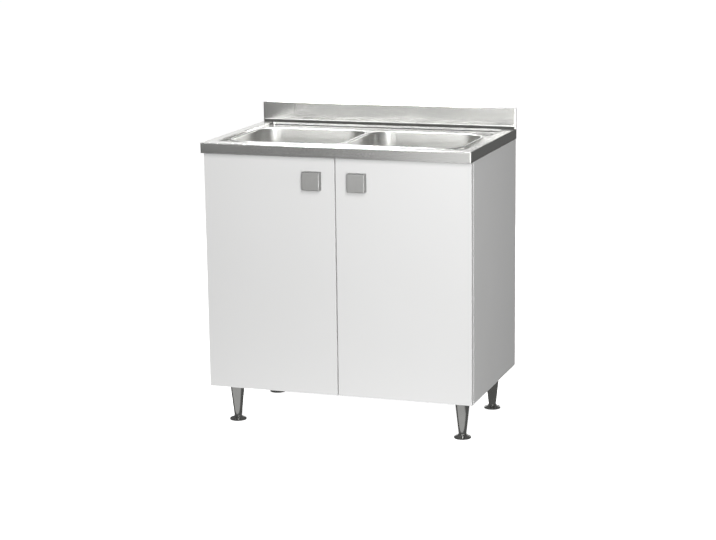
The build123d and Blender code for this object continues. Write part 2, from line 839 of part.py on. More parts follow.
with BuildPart() as top_clips:
    for side in SIDES.values():
        for y in clip_ys:
            # An angle, drawn from the front: one leg down the side panel, one under the field.
            corner = (side * inner_half, y - clip_width / 2, rail_top_z)
            angle_plane = Plane(origin=corner, x_dir=inwards(side), z_dir=(0, side, 0))
            with BuildSketch(angle_plane) as angle:
                with BuildLine():
                    Polyline(
                        (0, 0),
                        (clip_reach, 0),
                        (clip_reach, -clip_thickness),
                        (clip_thickness, -clip_thickness),
                        (clip_thickness, -clip_leg),
                        (0, -clip_leg),
                        close=True,
                    )
                make_face()
            extrude(angle.sketch, amount=side * clip_width)
            hole_start = (side * inner_half, y, clip_screw_z)
            rod(hole_start, inwards(side), wood_screw_radius, clip_thickness, Mode.SUBTRACT)
save(top_clips, "top_clips")

with BuildPart() as top_clip_screws:
    for side in SIDES.values():
        for y in clip_ys:
            screw(
                (side * (inner_half - clip_thickness), y, clip_screw_z),
                outwards(side),
                wood_screw_radius,
                wood_screw_length,
                wood_screw_head_radius,
                wood_screw_head_height,
            )
save(top_clip_screws, "top_clip_screws")

# --- Legs and levelling feet --------------------------------------------------------------------

with BuildPart() as leg_plates:
    with BuildSketch(Plane.XY.offset(leg_top_z)):
        with Locations(*leg_places.values()):
            RectangleRounded(leg_plate_size, leg_plate_size, leg_plate_corner_radius)
            Circle(leg_stud_radius, mode=Mode.SUBTRACT)
            with GridLocations(2 * leg_screw_offset, 2 * leg_screw_offset, 2, 2):
                Circle(wood_screw_radius, mode=Mode.SUBTRACT)
    extrude(amount=leg_plate_thickness)
save(leg_plates, "leg_plates")

with BuildPart() as leg_plate_screws:
    for x, y in leg_places.values():
        for dx in leg_screw_offsets:
            for dy in leg_screw_offsets:
                screw(
                    (x + dx, y + dy, leg_top_z),
                    UP,
                    wood_screw_radius,
                    wood_screw_length,
                    wood_screw_head_radius,
                    wood_screw_head_height,
                )
save(leg_plate_screws, "leg_plate_screws")


def make_leg(place):
    """A conical metal leg with a stud on top and a bore for the foot's stem."""
    bore_depth = foot_stem_length - foot_gap + foot_bore_spare
    with BuildPart() as leg:
        turn(
            [
                (0, leg_bottom_z),
                (leg_bottom_radius, leg_bottom_z),
                (leg_top_radius, leg_top_z),
                (0, leg_top_z),
            ],
            place,
        )
        start = (place[0], place[1], leg_top_z)
        rod(start, UP, leg_stud_radius, leg_plate_thickness + leg_stud_in_board)
        mouth = (place[0], place[1], leg_bottom_z)
        rod(mouth, UP, foot_stem_radius + stem_running_gap, bore_depth, Mode.SUBTRACT)
    return leg


def make_foot(place):
    """A round levelling foot with a domed top and a stem that screws into the leg."""
    collar_z = foot_height - foot_collar_height
    with BuildPart() as foot:
        turn(
            [
                (0, 0),
                (foot_radius, 0),
                (foot_radius, foot_rim),
                (foot_collar_radius, collar_z),
                (foot_collar_radius, foot_height),
                (0, foot_height),
            ],
            place,
        )
        start = (place[0], place[1], foot_height)
        rod(start, UP, foot_stem_radius, foot_stem_length)
    return foot


for name, place in leg_places.items():
    save(make_leg(place), f"{name}_leg")
    save(make_foot(place), f"{name}_foot")

# --- Doors and knobs ----------------------------------------------------------------------------

knob_screw_length = board + knob_screw_in_knob
cup_screw_offsets = (-cup_screw_span / 2, cup_screw_span / 2)


def knob_place(side):
    """The plan centre of a door's knob."""
    return side * knob_from_split


def make_door(side):
    """A board door with two blind bores for the hinge cups and a through hole for the knob."""
    with BuildPart() as door:
        middle = (side * (door_outer_x + door_inner_x) / 2, door_front_y + board / 2)
        width = door_outer_x - door_inner_x
        upright_board(width, board, door_top_z - leg_height, middle, leg_height)
        fillet(door.faces().sort_by(Axis.Y)[0].edges(), door_edge_radius)
        rod((knob_place(side), door_back_y, knob_z), FRONT, knob_screw_radius, board, Mode.SUBTRACT)
        cup_x = at_hinge(side, cup_centre_u, 0)[0]
        screw_x = at_hinge(side, cup_centre_u + cup_screw_inset, 0)[0]
        screw_depth = hinge_screw_length - cup_flange_thickness
        for z in hinge_heights:
            rod((cup_x, door_back_y, z), FRONT, cup_radius, cup_depth, Mode.SUBTRACT)
            for offset in cup_screw_offsets:
                start = (screw_x, door_back_y, z + offset)
                rod(start, FRONT, hinge_screw_radius, screw_depth, Mode.SUBTRACT)
    return door


def make_knob(side):
    """A square metal knob, softened round its front, with a blind hole for its screw."""
    with BuildPart() as knob:
        place = (knob_place(side), door_front_y, knob_z)
        with BuildSketch(Plane(origin=place, x_dir=(1, 0, 0), z_dir=FRONT)):
            Rectangle(knob_size, knob_size)
        extrude(amount=knob_depth)
        fillet(knob.faces().sort_by(Axis.Y)[0].edges(), knob_edge_radius)
        rod(place, FRONT, knob_screw_radius, knob_screw_in_knob, Mode.SUBTRACT)
    return knob


def make_knob_screw(side):
    """The screw that holds a knob, put in from the back of the door."""
    with BuildPart() as knob_screw:
        screw(
            (knob_place(side), door_back_y, knob_z),
            FRONT,
            knob_screw_radius,
            knob_screw_length,
            knob_screw_head_radius,
            knob_screw_head_height,
        )
    return knob_screw


def make_bumpers(side):
    """The soft pads on the back of a door, opposite the front rail and the bottom board."""
    with BuildPart() as bumpers:
        x = side * (door_inner_x + bumper_inset)
        for z in (leg_height + board / 2, (rail_top_z - rail_height + door_top_z) / 2):
            rod((x, door_back_y, z), REAR, bumper_radius, door_stand_off - bumper_gap)
    return bumpers


for name, side in SIDES.items():
    save(make_door(side), f"{name}_door")
    save(make_knob(side), f"{name}_knob")
    save(make_knob_screw(side), f"{name}_knob_screw")
    save(make_bumpers(side), f"{name}_door_bumpers")

# --- Cup hinges ---------------------------------------------------------------------------------

# Two hinges carry each door. The cup is pressed into the door, the arm is screwed to a plate on the
# side panel, and a cranked link joins their two pivots, so that the door swings clear of its neighbour.
pivot_run = math.dist((cup_pivot_u, cup_pivot_v), (arm_pivot_u, arm_pivot_v))
link_along = ((arm_pivot_u - cup_pivot_u) / pivot_run, (arm_pivot_v - cup_pivot_v) / pivot_run)
cheek_start = arm_nose_half + cheek_gap
cheek_end = cheek_start + link_cheek


def link_point(side, run, rise):
    """A point of the link: run from the cup's pivot to the arm's, rise towards the cup's bottom."""
    u = cup_pivot_u + link_along[0] * run - link_along[1] * rise
    v = cup_pivot_v + link_along[1] * run + link_along[0] * rise
    return at_hinge(side, u, v)


def make_links(side):
    """The cranked link of each hinge: two cheeks with eyes for the pins, joined by a web."""
    cup_eye = link_point(side, 0, 0)
    arm_eye = link_point(side, pivot_run, 0)
    cup_bend = link_point(side, link_crank_run, link_crank)
    arm_bend = link_point(side, pivot_run - link_crank_run, link_crank)
    web_top = link_crank + link_width / 2
    with BuildPart() as links:
        for z in hinge_heights:
            for cheek_z in (z - cheek_end, z + cheek_start):
                with BuildSketch(Plane.XY.offset(cheek_z)):
                    plan_bar(cup_eye, cup_bend, link_width)
                    plan_bar(cup_bend, arm_bend, link_width)
                    plan_bar(arm_bend, arm_eye, link_width)
                    with Locations(cup_eye, arm_eye):
                        Circle(link_eye_radius)
                        Circle(hinge_pin_radius + hinge_running_gap, mode=Mode.SUBTRACT)
                extrude(amount=link_cheek)
            with BuildSketch(Plane.XY.offset(z - cheek_start)):
                with BuildLine():
                    Polyline(
                        link_point(side, link_crank_run, web_top),
                        link_point(side, pivot_run - link_crank_run, web_top),
                        link_point(side, pivot_run - link_crank_run, web_top - link_web),
                        link_point(side, link_crank_run, web_top - link_web),
                        close=True,
                    )
                make_face()
            extrude(amount=2 * cheek_start)
    return links


def make_arms(side):
    """The arm of each hinge: a nose between the link's cheeks, a neck and a wider rear part."""
    nose = at_hinge(side, arm_pivot_u, arm_pivot_v)
    neck = at_hinge(side, arm_neck_u, -arm_neck_v)
    body_start = at_hinge(side, arm_body_u, -arm_body_start)
    body_end = at_hinge(side, arm_body_u, -arm_body_end)
    pin_half = cheek_end + hinge_pin_head
    with BuildPart() as arms:
        for z in hinge_heights:
            with BuildSketch(Plane.XY.offset(z - arm_nose_half)):
                with Locations(nose):
                    Circle(arm_nose_radius)
                plan_bar(nose, neck, arm_thickness)
                plan_bar(neck, body_start, arm_thickness)
            extrude(amount=2 * arm_nose_half)
            with BuildSketch(Plane.XY.offset(z - arm_half_width)):
                plan_bar(body_start, body_end, arm_thickness)
            extrude(amount=2 * arm_half_width)
            rod((nose[0], nose[1], z - pin_half), UP, hinge_pin_radius, 2 * pin_half)
            screw_place = at_hinge(side, arm_body_u - arm_thickness / 2, -arm_screw_setback)
            start = (screw_place[0], screw_place[1], z)
            rod(start, inwards(side), hinge_screw_radius, arm_thickness, Mode.SUBTRACT)
    return arms


def make_mounting_plates(side):
    """The plate of each hinge: a winged base on the side panel with a block that carries the arm."""
    block_height = arm_body_u - arm_thickness / 2 - board
    block_length = plate_block_rear - plate_block_front
    block_middle = at_hinge(side, board, -(plate_block_front + plate_block_rear) / 2)
    wing_middle = at_hinge(side, board, -plate_setback)
    arm_screw_place = at_hinge(side, board + block_height, -arm_screw_setback)
    with BuildPart() as plates:
        for z in hinge_heights:
            block_plane = Plane(
                origin=(block_middle[0], block_middle[1], z), x_dir=REAR, z_dir=inwards(side)
            )
            with BuildSketch(block_plane):
                Rectangle(block_length, 2 * plate_block_half)
            extrude(amount=block_height)
            wing_plane = Plane(
                origin=(wing_middle[0], wing_middle[1], z), x_dir=REAR, z_dir=inwards(side)
            )
            with BuildSketch(wing_plane):
                RectangleRounded(
                    2 * plate_wing_half, 2 * plate_wing_half_height, plate_wing_corner_radius
                )
            extrude(amount=plate_wing_thickness)
            for offset in plate_screw_offsets:
                start = (wing_middle[0], wing_middle[1], z + offset)
                rod(start, inwards(side), hinge_screw_radius, plate_wing_thickness, Mode.SUBTRACT)
            start = (arm_screw_place[0], arm_screw_place[1], z)
            depth = arm_screw_length - arm_thickness
            rod(start, outwards(side), hinge_screw_radius, depth, Mode.SUBTRACT)
    return plates


def make_cups(side):
    """The cup of each hinge, with its rim, its two screw wings and the pin across it."""
    centre = at_hinge(side, cup_centre_u, door_stand_off - cup_flange_thickness)
    wing = at_hinge(side, cup_centre_u + cup_screw_inset, door_stand_off - cup_flange_thickness)
    pin = at_hinge(side, cup_pivot_u, cup_pivot_v)
    pin_outside = cup_centre_u - cup_pivot_u + hinge_pin_radius
    pin_half = math.sqrt(cup_radius**2 - pin_outside**2)
    total_depth = cup_flange_thickness + cup_depth
    with BuildPart() as cups:
        for z in hinge_heights:
            start = (centre[0], centre[1], z)
            rod(start, FRONT, cup_radius + cup_flange_rim, cup_flange_thickness)
            wing_plane = Plane(origin=(wing[0], wing[1], z), x_dir=UP, z_dir=FRONT)
            with BuildSketch(wing_plane):
                SlotCenterToCenter(cup_screw_span, 2 * cup_wing_radius)
            extrude(amount=cup_flange_thickness)
            for offset in cup_screw_offsets:
                hole = (wing[0], wing[1], z + offset)
                rod(hole, FRONT, hinge_screw_radius, cup_flange_thickness, Mode.SUBTRACT)
            rod(start, FRONT, cup_radius, total_depth)
            rod(start, FRONT, cup_radius - cup_wall, total_depth - cup_wall, Mode.SUBTRACT)
            rod((pin[0], pin[1], z - pin_half), UP, hinge_pin_radius, 2 * pin_half)
    return cups


def make_cup_screws(side):
    """The screws that hold the cups in the door."""
    seat = at_hinge(side, cup_centre_u + cup_screw_inset, door_stand_off - cup_flange_thickness)
    with BuildPart() as screws:
        for z in hinge_heights:
            for offset in cup_screw_offsets:
                screw(
                    (seat[0], seat[1], z + offset),
                    FRONT,
                    hinge_screw_radius,
                    hinge_screw_length,
                    hinge_screw_head_radius,
                    hinge_screw_head_height,
                )
    return screws


def make_plate_screws(side):
    """The screws that hold the mounting plates on the side panel and the arms on the plates."""
    wing_seat = at_hinge(side, board + plate_wing_thickness, -plate_setback)
    arm_seat = at_hinge(side, arm_body_u + arm_thickness / 2, -arm_screw_setback)
    with BuildPart() as screws:
        for z in hinge_heights:
            seats = [(wing_seat, z + offset, hinge_screw_length) for offset in plate_screw_offsets]
            seats.append((arm_seat, z, arm_screw_length))
            for seat, seat_z, length in seats:
                screw(
                    (seat[0], seat[1], seat_z),
                    outwards(side),
                    hinge_screw_radius,
                    length,
                    hinge_screw_head_radius,
                    hinge_screw_head_height,
                )
    return screws


for name, side in SIDES.items():
    save(make_links(side), f"{name}_hinge_links")
    save(make_arms(side), f"{name}_hinge_arms")
    save(make_mounting_plates(side), f"{name}_hinge_plates")
    save(make_cups(side), f"{name}_hinge_cups")
    save(make_cup_screws(side), f"{name}_cup_screws")
    save(make_plate_screws(side), f"{name}_plate_screws")
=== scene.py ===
import math

import bmesh
import bpy
from mathutils import Matrix, Vector


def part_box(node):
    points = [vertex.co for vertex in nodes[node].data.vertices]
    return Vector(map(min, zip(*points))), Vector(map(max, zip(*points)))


# A free-standing kitchen sink unit: a pressed stainless double-bowl top on a white two-door board
# cabinet with conical metal legs. Metres, +X to the right, -Y to the front, +Z up, floor at zero.
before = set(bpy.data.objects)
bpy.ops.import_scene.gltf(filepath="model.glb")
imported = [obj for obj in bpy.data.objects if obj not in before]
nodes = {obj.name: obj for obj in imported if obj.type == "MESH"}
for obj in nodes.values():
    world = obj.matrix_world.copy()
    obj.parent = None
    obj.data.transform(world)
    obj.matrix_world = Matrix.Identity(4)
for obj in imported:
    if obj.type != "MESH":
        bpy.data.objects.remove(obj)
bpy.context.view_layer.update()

# --- Cabinet boards -----------------------------------------------------------------------------
# The sides, the bottom and the two rails are chipboard faced with white melamine foil. The edges
# that show are edged in the same white; the rear ends of the boards are left raw.


class Reading:
    """A value that changes over a surface. Arithmetic with it adds the maths to its finish."""

    def __init__(self, finish, socket):
        self.finish = finish
        self.socket = socket

    def worked(self, operation, first, second):
        return self.finish.node("ShaderNodeMath", {"operation": operation}, {0: first, 1: second})

    def __add__(self, other):
        return self.worked("ADD", self, other)

    def __radd__(self, other):
        return self.worked("ADD", other, self)

    def __mul__(self, other):
        return self.worked("MULTIPLY", self, other)

    def __rmul__(self, other):
        return self.worked("MULTIPLY", other, self)

    def above(self, edge):
        """One where the value is greater than the edge, and zero elsewhere."""
        return self.worked("GREATER_THAN", self, edge)


class Finish:
    """A surface finish built from nodes on the piece's own coordinates, in metres."""

    def __init__(self, name, **fixed):
        self.material = bpy.data.materials.new(name)
        self.material.use_nodes = True
        self.tree = self.material.node_tree
        self.surface = self.tree.nodes["Principled BSDF"]
        for socket, value in fixed.items():
            self.surface.inputs[socket.replace("_", " ")].default_value = value

    def node(self, kind, settings, inputs, output=0):
        """Add a node: its settings first, then the values or links of its sockets."""
        made = self.tree.nodes.new(kind)
        for name, value in settings.items():
            if name == "stops":
                for stop, (position, colour) in zip(made.color_ramp.elements, value):
                    stop.position = position
                    stop.color = colour
            else:
                setattr(made, name, value)
        for key, value in inputs.items():
            self.join(made.inputs[key], value)
        return Reading(self, made.outputs[output])

    def join(self, socket, value):
        if isinstance(value, Reading):
            self.tree.links.new(value.socket, socket)
        else:
            socket.default_value = value

    def places(self, scale=(1, 1, 1)):
        """Where on the piece a point lies, stretched along each axis by the scale."""
        spots = self.node("ShaderNodeTexCoord", {}, {}, "Object")
        return self.node("ShaderNodeMapping", {}, {"Vector": spots, "Scale": scale})

    def axis(self, name):
        spots = self.node("ShaderNodeTexCoord", {}, {}, "Object")
        return self.node("ShaderNodeSeparateXYZ", {}, {"Vector": spots}, name)

    def facing(self, name):
        normal = self.node("ShaderNodeNewGeometry", {}, {}, "Normal")
        return self.node("ShaderNodeSeparateXYZ", {}, {"Vector": normal}, name)

    def noise(self, places, per_metre, detail=3.0, rough=0.5):
        inputs = {"Vector": places, "Scale": per_metre, "Detail": detail, "Roughness": rough}
        return self.node("ShaderNodeTexNoise", {}, inputs)

    def blend(self, share, first, second):
        """Go from the first colour to the second as the share goes from zero to one."""
        factor, colour_a, colour_b, colour_out = 0, 6, 7, 2  # the sockets that colours use
        inputs = {factor: share, colour_a: first, colour_b: second}
        return self.node("ShaderNodeMix", {"data_type": "RGBA"}, inputs, colour_out)

    def spread(self, noise, low, high):
        """Stretch the usual range of a noise to the values from low to high."""
        inputs = {"Value": noise, "From Min": 0.3, "From Max": 0.7, "To Min": low, "To Max": high}
        return self.node("ShaderNodeMapRange", {"clamp": True}, inputs)

    def bump(self, height, strength, distance, over=None):
        inputs = {"Height": height, "Strength": strength, "Distance": distance}
        if over:
            inputs["Normal"] = over
        return self.node("ShaderNodeBump", {}, inputs)

    def feed(self, **sources):
        for socket, value in sources.items():
            self.join(self.surface.inputs[socket.replace("_", " ")], value)
        return self


def paint(finish, names):
    """Give the CAD nodes of these names a finish in place of their plain one."""
    for name in names:
        nodes[name].data.materials.clear()
        nodes[name].data.materials.append(finish.material)


foil_white = (0.84, 0.84, 0.838, 1)
foil_shade = (0.80, 0.80, 0.795, 1)
chip_dark = (0.20, 0.125, 0.06, 1)
chip_light = (0.62, 0.47, 0.29, 1)
raw_face_depth = 0.0004
raw_extra_roughness = 0.45
chip_relief = 6.0

board = Finish("white melamine board", Specular_IOR_Level=0.5)
cloud = board.noise(board.places(), per_metre=6.0, detail=2.0)
pearl = board.noise(board.places(), per_metre=1400.0, detail=2.0)
chips = board.noise(board.places(), per_metre=420.0, detail=4.0, rough=0.7)
chip_stops = {"stops": [(0.30, chip_dark), (0.70, chip_light)]}
raw = board.node("ShaderNodeValToRGB", chip_stops, {"Fac": chips})
raw_end = board.axis("Y").above(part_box("left_side_panel")[1].y - raw_face_depth)
board.feed(
    Base_Color=board.blend(raw_end, board.blend(cloud, foil_shade, foil_white), raw),
    Roughness=board.spread(pearl, 0.30, 0.38) + raw_end * raw_extra_roughness,
    Normal=board.bump(pearl + raw_end * chips * chip_relief, strength=0.12, distance=0.0002),
)
paint(board, ["left_side_panel", "right_side_panel", "bottom_panel", "front_rail", "rear_rail"])

# --- Back panel ---------------------------------------------------------------------------------
# The back is a thin hard fibreboard: white lacquer towards the cupboard, the brown pressed fibre
# left bare towards the wall.

fibre_dark = (0.16, 0.085, 0.04, 1)
fibre_light = (0.33, 0.20, 0.105, 1)
fibre_stain = (0.40, 0.26, 0.15, 1)
stain_share = 0.35
lacquer_shade = (0.76, 0.76, 0.75, 1)
lacquer_white = (0.81, 0.81, 0.80, 1)
lacquer_roughness = 0.42
bare_extra_roughness = 0.38
turned_to_the_wall = 0.5

back_board = Finish("lacquered fibreboard")
fibre = back_board.noise(back_board.places(), per_metre=260.0, detail=5.0, rough=0.65)
mottle = back_board.noise(back_board.places(), per_metre=14.0)
brown = back_board.blend(fibre, fibre_dark, fibre_light)
brown = back_board.blend(mottle * stain_share, brown, fibre_stain)
lacquer = back_board.blend(mottle, lacquer_shade, lacquer_white)
bare_side = back_board.facing("Y").above(turned_to_the_wall)
back_board.feed(
    Base_Color=back_board.blend(bare_side, lacquer, brown),
    Roughness=lacquer_roughness + bare_side * bare_extra_roughness,
    Normal=back_board.bump(fibre, strength=0.25, distance=0.0003),
)
paint(back_board, ["back_panel"])

# --- Dowels and cam connectors ------------------------------------------------------------------
# Beech dowels with pressed flutes are glued into one board and pushed into the next. Cast zinc cams
# turn on steel bolts and pull the boards together.

beech_dark = (0.52, 0.33, 0.17, 1)
beech_light = (0.68, 0.48, 0.29, 1)
along_the_grain = (30, 600, 600)

beech = Finish("fluted beech", Roughness=0.6)
rays = beech.noise(beech.places(scale=along_the_grain), per_metre=1.0, detail=4.0)
beech.feed(
    Base_Color=beech.blend(rays, beech_dark, beech_light),
    Normal=beech.bump(rays, strength=0.3, distance=0.0003),
)
paint(beech, ["dowels"])


def make_plated_finish(name, bright, dull, roughness):
    """Bright zinc or nickel plating on stamped and cast fittings, with a faint tumbled texture."""
    smoothest = roughness - 0.06
    roughest = roughness + 0.08

    plating = Finish(name, Metallic=1.0)
    tumbled = plating.noise(plating.places(), per_metre=500.0)
    tarnish = plating.noise(plating.places(), per_metre=60.0)
    plating.feed(
        Base_Color=plating.blend(tarnish, dull, bright),
        Roughness=plating.spread(tumbled, smoothest, roughest),
        Normal=plating.bump(tumbled, strength=0.15, distance=0.0002),
    )
    return plating


cast_zinc = make_plated_finish(
    "cast zinc", bright=(0.62, 0.63, 0.64, 1), dull=(0.46, 0.47, 0.48, 1), roughness=0.42
)
plated_steel = make_plated_finish(
    "zinc-plated steel", bright=(0.78, 0.78, 0.76, 1), dull=(0.60, 0.61, 0.62, 1), roughness=0.28
)
paint(cast_zinc, ["cam_connectors"])
paint(plated_steel, ["top_clips", "top_clip_screws", "leg_plates", "leg_plate_screws"])

# --- Legs and levelling feet --------------------------------------------------------------------
# Each leg is a turned metal cone with a satin chrome finish. The foot is a flat chromed disc with a
# domed top on a threaded stem that screws up into the leg.

LEGS = ["front_left", "front_right", "rear_left", "rear_right"]
polished_upwards = (700, 700, 30)
leg_shade = (0.52, 0.52, 0.505, 1)
leg_bright = (0.62, 0.62, 0.605, 1)
foot_shade = (0.50, 0.50, 0.49, 1)
foot_bright = (0.60, 0.60, 0.60, 1)

satin_chrome = Finish("satin chrome", Metallic=1.0)
polish = satin_chrome.noise(
    satin_chrome.places(scale=polished_upwards), per_metre=1.0, detail=2.0
)
haze = satin_chrome.noise(satin_chrome.places(), per_metre=25.0, detail=2.0)
satin_chrome.feed(
    Base_Color=satin_chrome.blend(haze, leg_shade, leg_bright),
    Roughness=satin_chrome.spread(polish, 0.12, 0.20),
    Normal=satin_chrome.bump(polish, strength=0.10, distance=0.00005),
)
paint(satin_chrome, [f"{leg}_leg" for leg in LEGS])

foot_chrome = Finish("polished dark chrome", Metallic=1.0)
film = foot_chrome.noise(foot_chrome.places(), per_metre=90.0)
foot_chrome.feed(
    Base_Color=foot_chrome.blend(film, foot_shade, foot_bright),
    Roughness=foot_chrome.spread(film, 0.08, 0.16),
)
paint(foot_chrome, [f"{leg}_foot" for leg in LEGS])

# --- Doors --------------------------------------------------------------------------------------
# Two flush board doors wrapped in smooth white foil, with softened edges. Soft pads stuck to their
# backs quieten them against the cabinet.

SIDES = ["left", "right"]
door_shade = (0.82, 0.82, 0.815, 1)
door_white = (0.85, 0.85, 0.848, 1)
pad_shade = (0.70, 0.70, 0.68, 1)
pad_white = (0.80, 0.80, 0.78, 1)

door_foil = Finish("smooth white door foil", Specular_IOR_Level=0.5)
sheen = door_foil.noise(door_foil.places(), per_metre=3.0, detail=2.0)
orange_peel = door_foil.noise(door_foil.places(), per_metre=700.0, detail=2.0)
door_foil.feed(
    Base_Color=door_foil.blend(sheen, door_shade, door_white),
    Roughness=door_foil.spread(orange_peel, 0.28, 0.34),
    Normal=door_foil.bump(orange_peel, strength=0.05, distance=0.0002),
)
paint(door_foil, [f"{side}_door" for side in SIDES])

soft_pad = Finish("soft pad", Roughness=0.45)
bloom = soft_pad.noise(soft_pad.places(), per_metre=300.0)
soft_pad.feed(Base_Color=soft_pad.blend(bloom, pad_shade, pad_white))
paint(soft_pad, [f"{side}_door_bumpers" for side in SIDES])

# --- Knobs --------------------------------------------------------------------------------------
# Square cast metal knobs with a satin nickel finish, brushed lightly up and down on the front. The
# sides and the broken edges are coloured darker than the front, as painted shade.

brushed_upwards = (1500, 1500, 60)
brushed_face_depth = 0.0006
knob_shade = (0.53, 0.53, 0.52, 1)
knob_bright = (0.61, 0.61, 0.60, 1)
# painted shade: darker colours for the knob's sides and broken edges
painted_side_shade_dark = (0.30, 0.30, 0.295, 1)
painted_side_shade_light = (0.36, 0.36, 0.355, 1)

satin_nickel = Finish("satin nickel", Metallic=1.0)
brush = satin_nickel.noise(satin_nickel.places(scale=brushed_upwards), per_metre=1.0)
brushed_front = satin_nickel.blend(brush, knob_shade, knob_bright)
# painted shade: everything behind the front face of the knob is coloured darker
painted_shade_side = satin_nickel.blend(brush, painted_side_shade_dark, painted_side_shade_light)
behind_front = satin_nickel.axis("Y").above(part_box("left_knob")[0].y + brushed_face_depth)
satin_nickel.feed(
    Base_Color=satin_nickel.blend(behind_front, brushed_front, painted_shade_side),
    Roughness=satin_nickel.spread(brush, 0.36, 0.46),
    Normal=satin_nickel.bump(brush, strength=0.10, distance=0.0001),
)
paint(satin_nickel, [f"{side}_knob" for side in SIDES])
paint(plated_steel, [f"{side}_knob_screw" for side in SIDES])

# --- Cup hinges ---------------------------------------------------------------------------------
# Each door turns on two concealed hinges of nickel-plated stamped steel. A cup is let into the door
# and screwed down, an arm sits on a cast plate screwed to the side, and a cranked link joins them.

nickel_plate = make_plated_finish(
    "nickel-plated steel", bright=(0.74, 0.72, 0.68, 1), dull=(0.58, 0.57, 0.54, 1), roughness=0.24
)
for side in SIDES:
    paint(nickel_plate, [f"{side}_hinge_cups", f"{side}_hinge_arms", f"{side}_hinge_links"])
    paint(cast_zinc, [f"{side}_hinge_plates"])
    paint(plated_steel, [f"{side}_cup_screws", f"{side}_plate_screws"])

# --- Sink top and bowls -------------------------------------------------------------------------
# One pressed sheet of stainless steel with a folded edge and upstand, and two deep-drawn bowls
# welded into it. The sheet is brushed along its length, the bowls are satin all round.


def make_brushed_steel(name, grain, roughness, line_strength, wave_strength, brightness):
    """Stainless steel with brush lines, a faint haze and the slow waves of thin sheet.

    The grain is how many lines there are in a metre along each axis."""
    streak_width_in_lines = 8
    streak_share = 0.6
    haze_share = 0.4
    wave_grain = (4, 9, 9)
    warmth = 0.015
    dull = brightness - 0.03
    roughest = roughness + 0.05

    steel = Finish(name, Metallic=1.0)
    lines = steel.noise(steel.places(scale=grain), per_metre=1.0, detail=2.0, rough=0.6)
    coarse_grain = [lines_per_metre / streak_width_in_lines for lines_per_metre in grain]
    streaks = steel.noise(steel.places(scale=coarse_grain), per_metre=1.0, rough=0.6)
    haze = steel.noise(steel.places(), per_metre=9.0)
    waves = steel.noise(steel.places(scale=wave_grain), per_metre=1.0, detail=1.0)
    dull_steel = (dull, dull, dull - warmth, 1)
    bright_steel = (brightness, brightness, brightness - warmth, 1)
    brushed = steel.bump(lines, line_strength, distance=0.00005)
    steel.feed(
        Base_Color=steel.blend(streaks, dull_steel, bright_steel),
        Roughness=steel.spread(streaks * streak_share + haze * haze_share, roughness, roughest),
        Normal=steel.bump(waves, wave_strength, distance=0.002, over=brushed),
    )
    return steel


sheet_steel = make_brushed_steel(
    "brushed sheet steel", grain=(20, 4000, 4000), roughness=0.22, line_strength=0.24,
    wave_strength=0.07, brightness=0.72,
)
bowl_steel = make_brushed_steel(
    "satin bowl steel", grain=(1500, 1500, 1500), roughness=0.27, line_strength=0.1,
    wave_strength=0.25, brightness=0.75,
)
paint(sheet_steel, ["sink_top"])
paint(bowl_steel, [f"{side}_bowl" for side in SIDES])

# --- Waste fittings -----------------------------------------------------------------------------
# Each bowl drains through a polished steel flange, clamped over a grey rubber gasket to a white
# moulded body under the bowl. A polished basket that lifts out sits in the flange.

polished_steel = make_brushed_steel(
    "polished steel", grain=(90, 90, 90), roughness=0.10, line_strength=0.05,
    wave_strength=0.05, brightness=0.72,
)
rubber_dark = (0.03, 0.03, 0.03, 1)
rubber_grey = (0.06, 0.06, 0.06, 1)
plastic_shade = (0.74, 0.74, 0.72, 1)
plastic_white = (0.80, 0.80, 0.785, 1)

rubber = Finish("grey rubber", Roughness=0.7)
dust = rubber.noise(rubber.places(), per_metre=200.0)
rubber.feed(Base_Color=rubber.blend(dust, rubber_dark, rubber_grey))

moulded = Finish("white moulded plastic", Roughness=0.38)
flow_marks = moulded.noise(moulded.places(), per_metre=40.0)
mould_texture = moulded.noise(moulded.places(), per_metre=900.0, detail=2.0)
moulded.feed(
    Base_Color=moulded.blend(flow_marks, plastic_shade, plastic_white),
    Normal=moulded.bump(mould_texture, strength=0.08, distance=0.0002),
)
for side in SIDES:
    paint(polished_steel, [f"{side}_waste_flange", f"{side}_basket_strainer"])
    paint(rubber, [f"{side}_waste_gasket"])
    paint(moulded, [f"{side}_waste_body"])

# --- Drain pipes --------------------------------------------------------------------------------
# White moulded plastic: a manifold joins the two wastes and drops into a bottle trap, whose outlet
# leaves through the back. The joints are pushed together and held by nuts tightened by hand.

paint(moulded, ["drain_manifold", "trap_body", "trap_cup", "dip_tube", "outlet_pipe", "slip_nuts"])

# --- Floor and studio wall ----------------------------------------------------------------------
# A plain pale floor, and a plain white wall all round that only closes the picture. Both glow a
# little, so that they are even, and neither shows in the steel.


def make_studio_piece(name, form, surface):
    """Make an object of the studio from a bmesh, seen plainly and not mirrored in the steel."""
    mesh = bpy.data.meshes.new(name)
    form.to_mesh(mesh)
    form.free()
    mesh.materials.append(surface.material)
    piece = bpy.data.objects.new(name, mesh)
    piece.visible_glossy = False
    piece.visible_diffuse = False
    bpy.context.scene.collection.objects.link(piece)
    return piece


def make_studio_finish(name, gloss, glow, greys, glow_greys):
    """A matt white that glows evenly, with a slow drift between each pair of greys."""
    white = Finish(name, Roughness=0.9, Specular_IOR_Level=gloss, Emission_Strength=glow)
    drift = white.noise(white.places(), per_metre=0.4, detail=1.0)
    return white.feed(
        Base_Color=white.blend(drift, *[(grey, grey, grey, 1) for grey in greys]),
        Emission_Color=white.blend(drift, *[(grey, grey, grey, 1) for grey in glow_greys]),
    )


floor_half_width = 40.0
wall_radius = 36.0

floor_form = bmesh.new()
bmesh.ops.create_grid(floor_form, x_segments=1, y_segments=1, size=floor_half_width)
floor_finish = make_studio_finish(
    "pale floor", gloss=0.0, glow=0.97, greys=(0.48, 0.50), glow_greys=(0.98, 1.0)
)
floor = make_studio_piece("floor", floor_form, floor_finish)

